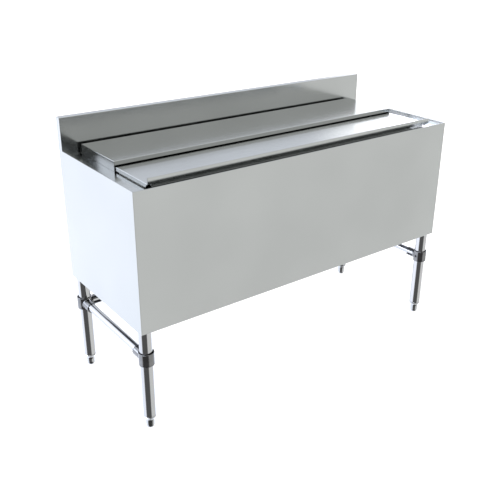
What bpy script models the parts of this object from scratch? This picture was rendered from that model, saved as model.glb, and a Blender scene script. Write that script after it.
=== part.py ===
"""Underbar ice bin: an insulated stainless box on four tube legs, with a sliding lid and a lift-off hood.

Metres, +Z up. The origin is on the floor under the middle of the bin. The bartender stands at -Y and the
splash back is at +Y. A sheet part is drawn as its visible skin, with its bends rounded, and Solidify gives it
its gauge.
"""

import math

import bmesh
import bpy
from mathutils import Matrix, Vector

# Body
BODY_WIDTH = 1.219
BODY_DEPTH = 0.462
BODY_HEIGHT = 0.420
FLOOR_CLEARANCE = 0.333
SPLASH_RISE = 0.101
SPLASH_DEPTH = 0.023
DECK_DROP = 0.0136
SKIRT_DEPTH = 0.052

# Sheet metal
GAUGE = 0.0012
BEND_RADIUS = 0.0015
HEM_GAP = 0.0003
RIM_HEM_DEPTH = 0.020
SKIRT_HEM_DEPTH = 0.009
SPLASH_RETURN_DEPTH = 0.014
DECK_FLANGE_DEPTH = 0.012
PAN_FLANGE_DEPTH = 0.015
DECK_CORNER_RADIUS = 0.003
FIT = 0.0003

# Opening and liner
OPENING_SIDE_MARGIN = 0.0795
OPENING_FRONT_MARGIN = 0.048
OPENING_REAR_MARGIN = 0.034
OPENING_RADIUS = 0.022
OPENING_LIP_DEPTH = 0.010
FOAM_UNDER_LINER = 0.0434
LINER_FLANGE = 0.012
LINER_COVE = 0.014
FLOOR_FALL = 0.006
DRAIN_SEAT_RADIUS = 0.045

# Rear hood
HOOD_SIDE_MARGIN = 0.0555
HOOD_REAR_MARGIN = 0.0138
HOOD_DEPTH = 0.214
HOOD_RISE = 0.0173
HOOD_LIP_GAP = 0.0045
HOOD_HEM_DEPTH = 0.009
LOCATOR_THICKNESS = 0.0015
LOCATOR_HEIGHT = 0.012
LOCATOR_LENGTH = 0.020
LOCATOR_RETURN = 0.006

# Sliding lid
LID_SIDE_MARGIN = 0.0585
LID_SETBACK = 0.0262
LID_OVERLAP = 0.025
LID_RISE = 0.0015
LID_SKIRT = 0.0112
PULL_HEIGHT = 0.0172
STIFFENER_SETBACK = 0.0118
STIFFENER_SIDE_MARGIN = 0.016
STIFFENER_FLANGE = 0.014
STIFFENER_LIFT = 0.0015
GLIDE_WIDTH = 0.007
GLIDE_INSET = 0.006
GLIDE_END_MARGIN = 0.035
GLIDE_CHAMFER = 0.0010

# Hat channels under the bottom pan
CHANNEL_HEIGHT = 0.024
CHANNEL_CROWN = 0.040
CHANNEL_BRIM = 0.014
CHANNEL_SETBACK = 0.125
CHANNEL_END_MARGIN = 0.095

# Drain
DRAIN_BARREL_RADIUS = 0.0167
DRAIN_BORE_RADIUS = 0.0130
DRAIN_FLANGE_RADIUS = 0.036
DRAIN_FLANGE_THICKNESS = 0.0036
DRAIN_FLANGE_CHAMFER = 0.0012
DRAIN_RECESS_RADIUS = 0.0270
DRAIN_RECESS_DEPTH = 0.0018
DRAIN_GASKET_RADIUS = 0.034
DRAIN_GASKET_THICKNESS = 0.0015
DRAIN_DROP = 0.025
STRAINER_THICKNESS = 0.0012
STRAINER_HOLE_RADIUS = 0.0018
STRAINER_RING_PITCH = 0.0052
STRAINER_RINGS = 3
WASHER_RADIUS = 0.030
WASHER_THICKNESS = 0.002
NUT_ACROSS_FLATS = 0.046
NUT_THICKNESS = 0.009

# Legs
LEG_RADIUS = 0.01905
LEG_WALL = 0.0015
LEG_SIDE_SETBACK = 0.0244
LEG_FRONT_SETBACK = 0.0277
LEG_REAR_SETBACK = 0.0244
LEG_END_HEIGHT = 0.0445
SOCKET_WALL = 0.0017
SOCKET_HEIGHT = 0.037
SOCKET_PLATE_THICKNESS = 0.003
SOCKET_PLATE_REACH = 0.036
SOCKET_BOSS_RADIUS = 0.0075
SOCKET_BOSS_LENGTH = 0.006
SET_SCREW_RADIUS = 0.0040
SET_SCREW_SINK = 0.0004
SET_SCREW_KEY_RADIUS = 0.0020
SET_SCREW_KEY_DEPTH = 0.0020

# Feet
INSERT_FLANGE = 0.0020
INSERT_LENGTH = 0.026
STUD_RADIUS = 0.0060
STUD_LENGTH = 0.022
FOOT_GAP = 0.0013
FOOT_TIP_RADIUS = 0.0085
FOOT_TOE_RADIUS = 0.0126
FOOT_BODY_RADIUS = 0.0142
FOOT_COLLAR_RADIUS = 0.0186
FOOT_TIP_HEIGHT = 0.0022
FOOT_TOE_HEIGHT = 0.0064
FOOT_BODY_HEIGHT = 0.0300
FOOT_COLLAR_DEPTH = 0.0030

# Cross bracing
RAIL_HEIGHT = 0.2403
RAIL_RADIUS = 0.0127
RAIL_WALL = 0.0012
CLAMP_RADIUS = 0.0230
CLAMP_WALL = 0.0025
CLAMP_OFFSET = 0.0012
CLAMP_LENGTH = 0.041
CLAMP_CHAMFER = 0.0012
CLAMP_ARM_RADIUS = 0.0164
CLAMP_ARM_DROP = 0.0018
CLAMP_ARM_REACH = 0.054
CLAMP_ARM_SLOT = 0.0170
CLAMP_SEAT_WALL = 0.004
CLAMP_SCREW_FROM_MOUTH = 0.012

# Fineness of the round forms
BEND_STEP = math.radians(30)
CORNER_STEPS = 5
TUBE_STEPS = 24
SMALL_STEPS = 8
SMOOTH_ANGLE = math.radians(35)

# One overrun for every cutter, and the distance under which two points are one
OVERRUN = 0.002
WELD = 0.00001

# Places worked out from the sizes above
SIDE = BODY_WIDTH / 2
FRONT = -BODY_DEPTH / 2
REAR = BODY_DEPTH / 2
HEM = 2 * GAUGE + HEM_GAP
LAP = GAUGE + FIT
RELIEF = BEND_RADIUS + FIT
SKIRT_Z = FLOOR_CLEARANCE
RIM_Z = SKIRT_Z + BODY_HEIGHT
DECK_Z = RIM_Z - DECK_DROP
SPLASH_Z = RIM_Z + SPLASH_RISE
SPLASH_Y = REAR - SPLASH_DEPTH
PAN_Z = SKIRT_Z + SKIRT_DEPTH
OPENING_FRONT = FRONT + OPENING_FRONT_MARGIN
OPENING_REAR = SPLASH_Y - OPENING_REAR_MARGIN
OPENING_Y = (OPENING_FRONT + OPENING_REAR) / 2
OPENING_WIDTH = BODY_WIDTH - 2 * OPENING_SIDE_MARGIN
OPENING_DEPTH = OPENING_REAR - OPENING_FRONT
SEAT_Z = PAN_Z + FOAM_UNDER_LINER
FLOOR_Z = SEAT_Z + FLOOR_FALL
HOOD_WIDTH = BODY_WIDTH - 2 * HOOD_SIDE_MARGIN
HOOD_REAR = SPLASH_Y - HOOD_REAR_MARGIN
HOOD_FRONT = HOOD_REAR - HOOD_DEPTH
LID_WIDTH = BODY_WIDTH - 2 * LID_SIDE_MARGIN
LID_FRONT = FRONT + LID_SETBACK
LID_REAR = HOOD_FRONT + LID_OVERLAP
LEG_X = SIDE - LEG_SIDE_SETBACK
LEG_FRONT_Y = FRONT + LEG_FRONT_SETBACK
LEG_REAR_Y = REAR - LEG_REAR_SETBACK
LEG_SPACE = LEG_RADIUS + FIT
SOCKET_TOP = PAN_Z - LAP
SOCKET_RADIUS = LEG_SPACE + SOCKET_WALL
CORNERS = (
    ("front_left", -1, -1, LEG_FRONT_Y),
    ("front_right", 1, -1, LEG_FRONT_Y),
    ("rear_left", -1, 1, LEG_REAR_Y),
    ("rear_right", 1, 1, LEG_REAR_Y),
)

# Turns that lay a piece drawn along +Z the other ways
TO_REAR = Matrix.Rotation(-math.pi / 2, 4, "X")
TO_FRONT = Matrix.Rotation(math.pi / 2, 4, "X")
TO_RIGHT = Matrix.Rotation(math.pi / 2, 4, "Y")
TO_LEFT = Matrix.Rotation(-math.pi / 2, 4, "Y")
TO_FLOOR = Matrix.Rotation(math.pi, 4, "X")


def start_empty():
    for thing in list(bpy.data.objects):
        bpy.data.objects.remove(thing)


def finish(name, colour, metallic, roughness):
    """A plain Principled material; colour is linear RGB."""
    made = bpy.data.materials.new(name)
    made.use_nodes = True
    shader = made.node_tree.nodes["Principled BSDF"]
    shader.inputs["Base Color"].default_value = (*colour, 1)
    shader.inputs["Metallic"].default_value = metallic
    shader.inputs["Roughness"].default_value = roughness
    return made


def add_object(name, bm, material):
    """Turns a bmesh into a scene object with its own copy of a material, its round faces shaded smooth."""
    mesh = bpy.data.meshes.new(name)
    bm.to_mesh(mesh)
    bm.free()
    mesh.shade_smooth()
    mesh.set_sharp_from_angle(angle=SMOOTH_ANGLE)
    mesh.materials.append(material.copy())
    thing = bpy.data.objects.new(name, mesh)
    bpy.context.scene.collection.objects.link(thing)
    return thing


def combine(thing, tool, operation):
    """Cuts a tool out of an object, or joins it on, and removes the tool."""
    boolean = thing.modifiers.new(operation, "BOOLEAN")
    boolean.operation = operation
    boolean.solver = "EXACT"
    boolean.object = tool
    scene_now = bpy.context.evaluated_depsgraph_get()
    mesh = bpy.data.meshes.new_from_object(thing.evaluated_get(scene_now))
    bm = bmesh.new()
    bm.from_mesh(mesh)
    bmesh.ops.remove_doubles(bm, verts=bm.verts, dist=WELD)
    bmesh.ops.dissolve_degenerate(bm, edges=bm.edges, dist=WELD)
    bm.to_mesh(mesh)
    bm.free()
    mesh.set_sharp_from_angle(angle=SMOOTH_ANGLE)
    thing.modifiers.clear()
    thing.data = mesh
    bpy.data.objects.remove(tool)


def give_gauge(thing):
    """Adds the sheet's thickness behind its visible skin."""
    solidify = thing.modifiers.new("gauge", "SOLIDIFY")
    solidify.thickness = GAUGE
    solidify.offset = -1
    solidify.use_even_offset = True


def move_origin(thing, point):
    """Puts an object's origin at a point and leaves its shape where it is."""
    thing.data.transform(Matrix.Translation(-Vector(point)))
    thing.location = point


# A fold is (turn, radius, run, cut at start, cut at end). The run is measured over the outside, from bend to
# bend, and the cuts slope the ends of its flat part.


def bend_down(run, cut_start=0, cut_end=0):
    return (-math.pi / 2, BEND_RADIUS, run, cut_start, cut_end)


def bend_up(run):
    return (math.pi / 2, BEND_RADIUS, run, 0, 0)


def hem(run):
    """Folds the edge back flat behind itself, with the thin gap that a closed hem keeps."""
    return (-math.pi, HEM / 2, run, 0, 0)


def setback(fold):
    """How far before the outer corner a bend begins."""
    turn, radius = fold[:2]
    return radius * math.tan(min(abs(turn), math.pi / 2) / 2)


def fold_path(folds):
    """The skin over a chain of folds, as rows of (outward, up, cut at start, cut at end)."""
    heading = 0
    spot = Vector((-setback(folds[0]), 0))
    cuts = [0, 0]
    rows = [(*spot, *cuts)]
    for number, (turn, radius, run, cut_start, cut_end) in enumerate(folds):
        steps = max(1, round(abs(turn) / BEND_STEP))
        side = math.copysign(radius, turn)
        centre = spot + side * Vector((-math.sin(heading), math.cos(heading)))
        for step in range(1, steps + 1):
            angle = heading + turn * step / steps
            spot = centre - side * Vector((-math.sin(angle), math.cos(angle)))
            rows.append((*spot, *cuts))
        heading += turn
        following = folds[number + 1 : number + 2]
        straight = run - setback(folds[number]) - sum(setback(fold) for fold in following)
        spot = spot + straight * Vector((math.cos(heading), math.sin(heading)))
        cuts = [cuts[0] + cut_start, cuts[1] + cut_end]
        rows.append((*spot, *cuts))
    return rows


def folded_panel(name, outline, place, edges, material):
    """A sheet with folded edges.

    outline is a counter-clockwise list of (u, v) seen from the visible side, and place(u, v, w) puts a point
    into the world, w above the visible face. edges maps the number of an edge to (inset at start, inset at
    end, folds). An inset that isn't zero is deeper than the bend radius of the neighbouring edge.
    """
    bm = bmesh.new()
    count = len(outline)
    strips = {}
    for edge, (inset_start, inset_end, folds) in edges.items():
        start, end = Vector(outline[edge]), Vector(outline[(edge + 1) % count])
        along = (end - start).normalized()
        outward = Vector((along.y, -along.x))
        start, end = start + along * inset_start, end - along * inset_end
        strips[edge] = (start, end, along, outward, fold_path(folds))

    ring = []
    near, far = {}, {}

    def corner(point):
        ring.append(bm.verts.new(place(point.x, point.y, 0)))
        return ring[-1]

    for edge in range(count):
        before = (edge - 1) % count
        bent = before in edges and edges[before][1] == 0 or edge in edges and edges[edge][0] == 0
        if before in strips:
            _, q, _, outward, rows = strips[before]
            far[before] = corner(q + outward * rows[0][0])
            if edges[before][1] > 0:
                corner(q)
        if not bent:
            corner(Vector(outline[edge]))
        if edge in strips:
            p, _, _, outward, rows = strips[edge]
            if edges[edge][0] > 0:
                corner(p)
            near[edge] = corner(p + outward * rows[0][0])
    bm.faces.new(ring)

    for edge, (p, q, along, outward, rows) in strips.items():
        a, b = near[edge], far[edge]
        for out, up, cut_start, cut_end in rows[1:]:
            start = p + along * cut_start + outward * out
            end = q - along * cut_end + outward * out
            c, d = bm.verts.new(place(*start, up)), bm.verts.new(place(*end, up))
            bm.faces.new((b, a, c, d))
            a, b = c, d
    thing = add_object(name, bm, material)
    give_gauge(thing)
    return thing


def rectangle(left, bottom, right, top):
    return [(left, bottom), (right, bottom), (right, top), (left, top)]


def rounded_loop(bm, half_width, half_depth, radius, centre_y, z):
    """The vertices of a rounded rectangle; each such loop has the same count, so loops bridge one to one."""
    made = []
    for quarter in range(4):
        side_x = 1 if quarter in (0, 3) else -1
        side_y = 1 if quarter in (0, 1) else -1
        for step in range(CORNER_STEPS + 1):
            angle = math.pi / 2 * (quarter + step / CORNER_STEPS)
            x = side_x * (half_width - radius) + radius * math.cos(angle)
            y = side_y * (half_depth - radius) + radius * math.sin(angle)
            made.append(bm.verts.new((x, centre_y + y, z)))
    return made


def round_loop(bm, radius, z):
    """A circle with the count and order of vertices of a rounded rectangle."""
    count = 4 * (CORNER_STEPS + 1)
    made = []
    for step in range(count):
        angle = 2 * math.pi * (step + 1 / 2) / count
        made.append(bm.verts.new((radius * math.cos(angle), radius * math.sin(angle), z)))
    return made


def bridge_all(bm, loops):
    for first, second in zip(loops, loops[1:]):
        for i in range(len(first)):
            j = (i + 1) % len(first)
            bm.faces.new((first[i], first[j], second[j], second[i]))


def turned(name, profile, material, steps=TUBE_STEPS):
    """Spins a profile of (radius, height) points round Z; a hollow form ends on its first point."""
    bm = bmesh.new()
    points = [bm.verts.new((radius, 0, z)) for radius, z in profile]
    for a, b in zip(points, points[1:]):
        bm.edges.new((a, b))
    bmesh.ops.spin(
        bm, geom=bm.verts[:] + bm.edges[:], cent=(0, 0, 0), axis=(0, 0, 1), angle=2 * math.pi, steps=steps
    )
    bmesh.ops.remove_doubles(bm, verts=bm.verts, dist=WELD)
    bmesh.ops.recalc_face_normals(bm, faces=bm.faces)
    return add_object(name, bm, material)


def tube(name, radius, wall, bottom, top, material):
    inner = radius - wall
    profile = [(inner, bottom), (radius, bottom), (radius, top), (inner, top), (inner, bottom)]
    return turned(name, profile, material)


def rod(name, radius, bottom, top, material, steps=TUBE_STEPS, chamfer=0):
    """A solid round bar, chamfered at both ends where a chamfer is given."""
    profile = [(0, bottom), (radius, bottom), (radius, top), (0, top)]
    if chamfer:
        profile[1:3] = [
            (radius - chamfer, bottom),
            (radius, bottom + chamfer),
            (radius, top - chamfer),
            (radius - chamfer, top),
        ]
    return turned(name, profile, material, steps)


def prism(name, outline, bottom, top, material, bevel=0):
    """Stands an outline in the XY plane up from bottom to top."""
    bm = bmesh.new()
    base = bm.faces.new([bm.verts.new((x, y, bottom)) for x, y in outline])
    raised = bmesh.ops.extrude_face_region(bm, geom=[base])["geom"]
    lift = [piece for piece in raised if isinstance(piece, bmesh.types.BMVert)]
    bmesh.ops.translate(bm, verts=lift, vec=(0, 0, top - bottom))
    if bevel:
        bmesh.ops.bevel(bm, geom=bm.edges[:], offset=bevel, segments=1, affect="EDGES")
    bmesh.ops.recalc_face_normals(bm, faces=bm.faces)
    return add_object(name, bm, material)


def polygon(radius, sides):
    angles = [2 * math.pi * i / sides for i in range(sides)]
    return [(radius * math.cos(angle), radius * math.sin(angle)) for angle in angles]


def build_side_panels(steel):
    """One sheet a side: the wall, its hemmed rim and skirt, and the closed end of the splash back."""
    outline = [
        (FRONT, SKIRT_Z),
        (REAR, SKIRT_Z),
        (REAR, SPLASH_Z),
        (SPLASH_Y, SPLASH_Z),
        (SPLASH_Y, RIM_Z),
        (FRONT, RIM_Z),
    ]
    mirrored = [(-u, v) for u, v in reversed(outline)]
    corner_inset = HEM + FIT
    skirt, rim = [hem(SKIRT_HEM_DEPTH)], [hem(RIM_HEM_DEPTH)]

    def on_right(u, v, w):
        return (SIDE + w, u, v)

    def on_left(u, v, w):
        return (-SIDE - w, -u, v)

    right_edges = {0: (corner_inset, 0, skirt), 4: (FIT, corner_inset, rim)}
    left_edges = {4: (0, corner_inset, skirt), 0: (corner_inset, FIT, rim)}
    folded_panel("side_panel_right", outline, on_right, right_edges, steel)
    folded_panel("side_panel_left", mirrored, on_left, left_edges, steel)


def build_front_and_rear_panels(steel):
    """The front stands between the side panels; the rear closes the box from the bottom pan to the splash."""
    inner = SIDE - LAP

    def on_front(u, v, w):
        return (u, FRONT - w, v)

    def on_rear(u, v, w):
        return (-u, REAR + w, v)

    hems = {0: (0, 0, [hem(SKIRT_HEM_DEPTH)]), 2: (0, 0, [hem(RIM_HEM_DEPTH)])}
    folded_panel("front_panel", rectangle(-inner, SKIRT_Z, inner, RIM_Z), on_front, hems, steel)
    folded_panel("rear_panel", rectangle(-inner, PAN_Z - GAUGE, inner, SPLASH_Z), on_rear, {}, steel)


def build_splash(steel):
    """The splash back: one sheet up from behind the deck, over the top and down inside the rear panel."""
    inner = SIDE - LAP

    def on_splash(u, v, w):
        return (u, SPLASH_Y - w, v)

    top = [bend_down(SPLASH_DEPTH - LAP), bend_down(SPLASH_RETURN_DEPTH)]
    outline = rectangle(-inner, DECK_Z - DECK_FLANGE_DEPTH, inner, SPLASH_Z)
    folded_panel("backsplash", outline, on_splash, {2: (0, 0, top)}, steel)


def quarter_bend(radius):
    """The steps of a quarter circle as (along, down), both from 0 to the radius, level at its start."""
    steps = round(math.pi / 2 / BEND_STEP)
    angles = [math.pi / 2 * step / steps for step in range(steps + 1)]
    return [(radius * math.sin(angle), radius * (1 - math.cos(angle))) for angle in angles]


def build_deck(steel):
    """The recessed top deck, folded down all round against the body and down into the opening."""
    bm = bmesh.new()
    front, rear = FRONT + HEM + FIT, SPLASH_Y - FIT
    half_width, half_depth = SIDE - HEM - FIT, (rear - front) / 2
    middle = (front + rear) / 2

    def outer(inset, z):
        radius = DECK_CORNER_RADIUS - inset
        return rounded_loop(bm, half_width - inset, half_depth - inset, radius, middle, z)

    def inner(inset, z):
        width, depth = OPENING_WIDTH / 2 + inset, OPENING_DEPTH / 2 + inset
        return rounded_loop(bm, width, depth, OPENING_RADIUS + inset, OPENING_Y, z)

    loops = [outer(0, DECK_Z - DECK_FLANGE_DEPTH)]
    for along, down in reversed(quarter_bend(BEND_RADIUS)):
        loops.append(outer(BEND_RADIUS - along, DECK_Z - down))
    for along, down in quarter_bend(BEND_RADIUS):
        loops.append(inner(BEND_RADIUS - along, DECK_Z - down))
    loops.append(inner(0, DECK_Z - OPENING_LIP_DEPTH))
    bridge_all(bm, loops)
    give_gauge(add_object("top_deck", bm, steel))


def liner_loops(bm, grow):
    """The liner's inner form, or that form grown outward, from its rim down to the drain seat."""
    width = OPENING_WIDTH / 2 + LAP + grow
    depth = OPENING_DEPTH / 2 + LAP + grow
    radius = OPENING_RADIUS + LAP + grow
    cove = LINER_COVE + grow
    loops = [rounded_loop(bm, width, depth, radius, OPENING_Y, DECK_Z - LAP)]
    for along, down in quarter_bend(cove):
        z = FLOOR_Z - grow + cove - along
        loops.append(rounded_loop(bm, width - down, depth - down, radius - down, OPENING_Y, z))
    loops.append(round_loop(bm, DRAIN_SEAT_RADIUS, SEAT_Z - grow))
    return loops


def drain_hole(material):
    """The cutter that lets the drain barrel through the liner floor, the foam and the bottom pan."""
    return rod("drain_hole", DRAIN_BARREL_RADIUS + FIT, PAN_Z - GAUGE - OVERRUN, SEAT_Z + OVERRUN, material)


def build_liner(steel):
    """The ice liner, hung under the deck: coved corners and a floor that falls to the drain."""
    bm = bmesh.new()
    loops = liner_loops(bm, 0)
    reach = LAP + LINER_FLANGE
    width, depth = OPENING_WIDTH / 2 + reach, OPENING_DEPTH / 2 + reach
    loops.insert(0, rounded_loop(bm, width, depth, OPENING_RADIUS + reach, OPENING_Y, DECK_Z - LAP))
    bridge_all(bm, loops)
    bm.faces.new(loops[-1])
    liner = add_object("ice_liner", bm, steel)
    give_gauge(liner)
    combine(liner, drain_hole(steel), "DIFFERENCE")


def build_foam(foam):
    """The foam between the liner and the outer box, moulded round the liner."""
    inset = 2 * LAP
    rear = REAR - inset - BEND_RADIUS
    block = prism(
        "foam_insulation",
        rectangle(-SIDE + inset, FRONT + inset, SIDE - inset, rear),
        PAN_Z + FIT,
        DECK_Z - DECK_FLANGE_DEPTH - FIT,
        foam,
    )
    bm = bmesh.new()
    loops = liner_loops(bm, LAP)
    bridge_all(bm, loops)
    bm.faces.new(loops[-1])
    bm.faces.new(reversed(loops[0]))
    bmesh.ops.recalc_face_normals(bm, faces=bm.faces)
    combine(block, add_object("liner_space", bm, foam), "DIFFERENCE")
    combine(block, drain_hole(foam), "DIFFERENCE")


def build_pan(steel):
    """The bottom pan, turned down inside the skirt and up inside the rear panel."""
    inner = SIDE - LAP

    def on_pan(u, v, w):
        return (u, v, PAN_Z + w)

    flange = [bend_down(PAN_FLANGE_DEPTH)]
    edges = {
        0: (0, 0, flange),
        1: (RELIEF, RELIEF, flange),
        2: (0, 0, [bend_up(PAN_FLANGE_DEPTH)]),
        3: (RELIEF, RELIEF, flange),
    }
    outline = rectangle(-inner, FRONT + LAP, inner, REAR - LAP - GAUGE)
    pan = folded_panel("bottom_panel", outline, on_pan, edges, steel)
    combine(pan, drain_hole(steel), "DIFFERENCE")


def build_channels(steel):
    """Two hat channels welded under the bottom pan, lengthwise, to carry the load of ice to the legs."""
    half_length, half_crown = SIDE - CHANNEL_END_MARGIN, CHANNEL_CROWN / 2
    crown_z = PAN_Z - LAP - CHANNEL_HEIGHT
    outline = rectangle(-half_length, -half_crown, half_length, half_crown)
    wall = (0, 0, [bend_down(CHANNEL_HEIGHT - GAUGE), bend_up(CHANNEL_BRIM)])
    for name, y in (("front", FRONT + CHANNEL_SETBACK), ("rear", REAR - CHANNEL_SETBACK)):

        def under_pan(u, v, w, y=y):
            return (u, y - v, crown_z - w)

        folded_panel(f"bottom_channel_{name}", outline, under_pan, {0: wall, 2: wall}, steel)


def build_hood(steel):
    """The lift-off rear hood, on three walls that stand on the deck, with a short hemmed lip in front."""
    half = HOOD_WIDTH / 2
    top = RIM_Z + HOOD_RISE
    wall = [bend_down(top - DECK_Z - FIT)]
    lip = [bend_down(HOOD_RISE - HOOD_LIP_GAP), hem(HOOD_HEM_DEPTH)]

    def on_hood(u, v, w):
        return (u, v, top + w)

    edges = {0: (RELIEF, RELIEF, lip), 1: (0, 0, wall), 2: (RELIEF, RELIEF, wall), 3: (0, 0, wall)}
    hood = folded_panel("rear_hood", rectangle(-half, HOOD_FRONT, half, HOOD_REAR), on_hood, edges, steel)
    move_origin(hood, (0, (HOOD_FRONT + HOOD_REAR) / 2, DECK_Z))


def build_hood_locators(steel):
    """Two small angle tabs on the deck that hold the hood's rear corners in place."""
    outer, rear = HOOD_WIDTH / 2 - LAP, HOOD_REAR - LAP
    bottom = DECK_Z + FIT
    for name, side in (("left", -1), ("right", 1)):
        outline = [
            (side * outer, rear),
            (side * (outer - LOCATOR_LENGTH), rear),
            (side * (outer - LOCATOR_LENGTH), rear - LOCATOR_THICKNESS),
            (side * (outer - LOCATOR_THICKNESS), rear - LOCATOR_THICKNESS),
            (side * (outer - LOCATOR_THICKNESS), rear - LOCATOR_RETURN),
            (side * outer, rear - LOCATOR_RETURN),
        ]
        prism(f"hood_locator_{name}", outline, bottom, bottom + LOCATOR_HEIGHT, steel)


def build_lid(steel, nylon):
    """The sliding lid, folded from one sheet with its pull turned up in front, a stiffener and two glides."""
    half = LID_WIDTH / 2
    top = RIM_Z + LID_RISE
    middle = (0, (LID_FRONT + LID_REAR) / 2, DECK_Z)

    def on_lid(u, v, w):
        return (u, v, top + w)

    slope = LID_SKIRT - BEND_RADIUS
    edges = {
        0: (0, 0, [bend_up(PULL_HEIGHT), hem(PULL_HEIGHT + GAUGE)]),
        1: (RELIEF, 0, [bend_down(LID_SKIRT, cut_start=slope)]),
        2: (RELIEF, RELIEF, [bend_down(LID_SKIRT)]),
        3: (0, RELIEF, [bend_down(LID_SKIRT, cut_end=slope)]),
    }
    lid = folded_panel("sliding_lid", rectangle(-half, LID_FRONT + HEM, half, LID_REAR), on_lid, edges, steel)
    move_origin(lid, middle)

    under = top - LAP
    width = half - STIFFENER_SIDE_MARGIN
    face = LID_FRONT + STIFFENER_SETBACK

    def under_lid(u, v, w):
        return (u, v, under + w)

    wall = {0: (0, 0, [bend_down(under - DECK_Z - STIFFENER_LIFT)])}
    outline = rectangle(-width, face, width, face + STIFFENER_FLANGE)
    move_origin(folded_panel("lid_stiffener", outline, under_lid, wall, steel), middle)

    outer = half - GLIDE_INSET
    front, rear = LID_FRONT + GLIDE_END_MARGIN, LID_REAR - GLIDE_END_MARGIN
    for name, side in (("left", -1), ("right", 1)):
        ends = sorted((side * outer, side * (outer - GLIDE_WIDTH)))
        outline = rectangle(ends[0], front, ends[1], rear)
        glide = prism(f"lid_glide_{name}", outline, DECK_Z + FIT, under, nylon, GLIDE_CHAMFER)
        move_origin(glide, middle)


def build_drain(steel, rubber):
    """The drain: a flanged barrel through the floor, on a gasket, with its strainer, washer and locknut."""
    gasket_z = SEAT_Z + FIT
    flange_z = gasket_z + DRAIN_GASKET_THICKNESS + FIT
    top = flange_z + DRAIN_FLANGE_THICKNESS
    recess_z = top - DRAIN_RECESS_DEPTH
    end = SKIRT_Z - DRAIN_DROP
    hole = DRAIN_BARREL_RADIUS + FIT
    body_profile = [
        (DRAIN_BORE_RADIUS, end),
        (DRAIN_BARREL_RADIUS, end),
        (DRAIN_BARREL_RADIUS, flange_z),
        (DRAIN_FLANGE_RADIUS, flange_z),
        (DRAIN_FLANGE_RADIUS, top - DRAIN_FLANGE_CHAMFER),
        (DRAIN_FLANGE_RADIUS - DRAIN_FLANGE_CHAMFER, top),
        (DRAIN_RECESS_RADIUS, top),
        (DRAIN_RECESS_RADIUS, recess_z),
        (DRAIN_BORE_RADIUS, recess_z),
        (DRAIN_BORE_RADIUS, end),
    ]
    turned("drain_body", body_profile, steel)
    gasket_top = gasket_z + DRAIN_GASKET_THICKNESS
    tube("drain_gasket", DRAIN_GASKET_RADIUS, DRAIN_GASKET_RADIUS - hole, gasket_z, gasket_top, rubber)

    bottom = recess_z + FIT
    strainer_top = bottom + STRAINER_THICKNESS
    strainer = rod("drain_strainer", DRAIN_RECESS_RADIUS - FIT, bottom, strainer_top, steel)
    holes = bmesh.new()
    depth = STRAINER_THICKNESS + 2 * OVERRUN
    for ring in range(STRAINER_RINGS):
        for x, y in polygon(ring * STRAINER_RING_PITCH, max(1, 6 * ring)):
            bmesh.ops.create_cone(
                holes,
                cap_ends=True,
                segments=SMALL_STEPS,
                radius1=STRAINER_HOLE_RADIUS,
                radius2=STRAINER_HOLE_RADIUS,
                depth=depth,
                matrix=Matrix.Translation((x, y, (bottom + strainer_top) / 2)),
            )
    combine(strainer, add_object("strainer_holes", holes, steel), "DIFFERENCE")

    washer_top = PAN_Z - LAP
    washer_z = washer_top - WASHER_THICKNESS
    tube("drain_washer", WASHER_RADIUS, WASHER_RADIUS - hole, washer_z, washer_top, steel)
    nut_top = washer_z - FIT
    nut_z = nut_top - NUT_THICKNESS
    nut = prism("drain_locknut", polygon(NUT_ACROSS_FLATS / math.sqrt(3), 6), nut_z, nut_top, steel)
    combine(nut, rod("nut_bore", hole, nut_z - OVERRUN, nut_top + OVERRUN, steel), "DIFFERENCE")


def set_screw(name, tip, head, turn, place, material):
    """A socket set screw along a turned Z axis, given how far out its tip and head lie."""
    profile = [
        (0, tip),
        (SET_SCREW_RADIUS, tip),
        (SET_SCREW_RADIUS, head),
        (SET_SCREW_KEY_RADIUS, head),
        (SET_SCREW_KEY_RADIUS, head - SET_SCREW_KEY_DEPTH),
        (0, head - SET_SCREW_KEY_DEPTH),
    ]
    screw = turned(name, profile, material, SMALL_STEPS)
    screw.data.transform(turn)
    screw.location = place


def fit_set_screw(name, thing, tip, head, turn, material):
    """Drills a piece for a set screw and puts the screw in, sunk a little below the surface."""
    cutter = rod("screw_hole", SET_SCREW_RADIUS + FIT, tip - OVERRUN, head + OVERRUN, material, SMALL_STEPS)
    cutter.data.transform(turn)
    cutter.location = thing.location
    combine(thing, cutter, "DIFFERENCE")
    set_screw(name, tip, head - SET_SCREW_SINK, turn, thing.location, material)


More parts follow.
